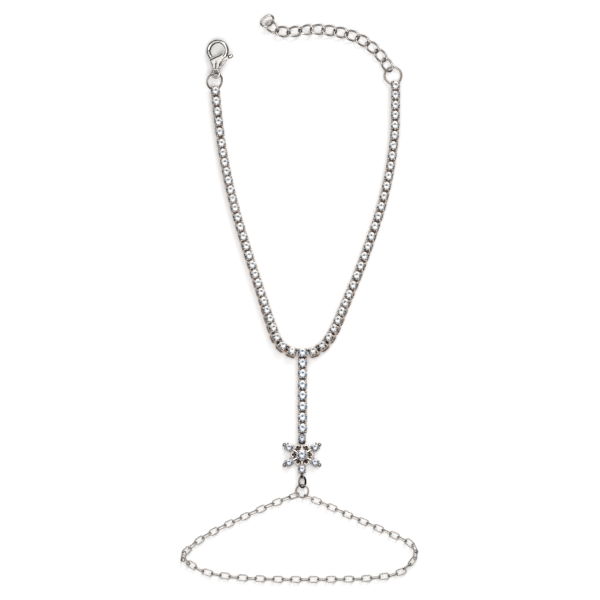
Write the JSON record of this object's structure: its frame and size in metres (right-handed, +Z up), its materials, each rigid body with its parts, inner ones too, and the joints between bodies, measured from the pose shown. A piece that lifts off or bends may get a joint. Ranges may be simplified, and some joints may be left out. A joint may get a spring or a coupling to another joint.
{
  "type": "hand chain bracelet",
  "caption": "Hand chain bracelet: wrist chain of round stones in claw cups with lobster clasp and curb extender, a stone drop to a snowflake and a finger loop of fine chain.",
  "frame": {"origin": "middle of the flat back of the snowflake's central cup, on the surface that the bracelet lies on", "axes": "+Y from the snowflake towards the clasp and the wrist, +X to the extender's side, +Z up from the surface, out of the stones' tables"},
  "size_m": [0.0642, 0.1534, 0.0032],
  "materials": {
    "silver_metal": "polished silver-coloured plating",
    "clasp_metal": "polished cast silver-coloured plating",
    "stone": "cut and polished clear glass with a foiled back"
  },
  "bodies": {
    "bracelet": {"wrist_settings_left": "silver_metal", "wrist_settings_right": "silver_metal", "wrist_stones_left": "stone", "wrist_stones_right": "stone", "junction_setting": "silver_metal", "junction_stone": "stone", "drop_settings": "silver_metal", "drop_stones": "stone", "snowflake": "silver_metal", "middle_stone": "stone", "upper_stone": "stone", "lower_stone": "stone", "side_stone_1": "stone", "side_stone_2": "stone", "side_stone_3": "stone", "side_stone_4": "stone", "flake_ring": "silver_metal", "loop_ring": "silver_metal", "finger_chain_left": "silver_metal", "finger_chain_right": "silver_metal", "clasp_ring": "silver_metal", "extender_ring": "silver_metal", "clasp_body": "clasp_metal", "clasp_pin": "clasp_metal", "extender_link_1": "silver_metal", "extender_link_2": "silver_metal", "extender_link_3": "silver_metal", "extender_link_4": "silver_metal", "extender_link_5": "silver_metal", "extender_link_6": "silver_metal", "extender_link_7": "silver_metal", "extender_link_8": "silver_metal", "extender_link_9": "silver_metal", "extender_link_10": "silver_metal", "extender_link_11": "silver_metal", "extender_link_12": "silver_metal", "extender_link_13": "silver_metal"},
    "lever": {"clasp_lever": "clasp_metal"}
  },
  "joints": [
    {"name": "lever_hinge", "type": "hinge", "parent": "bracelet", "child": "lever", "pos_m": [-0.02309, 0.10606, 0.00163], "axis": [-0.2756, 0.0252, 0.9609], "range_deg": [-26, 0], "stiffness_Nm_per_rad": 0.00002, "springref_deg": 8.59}
  ]
}
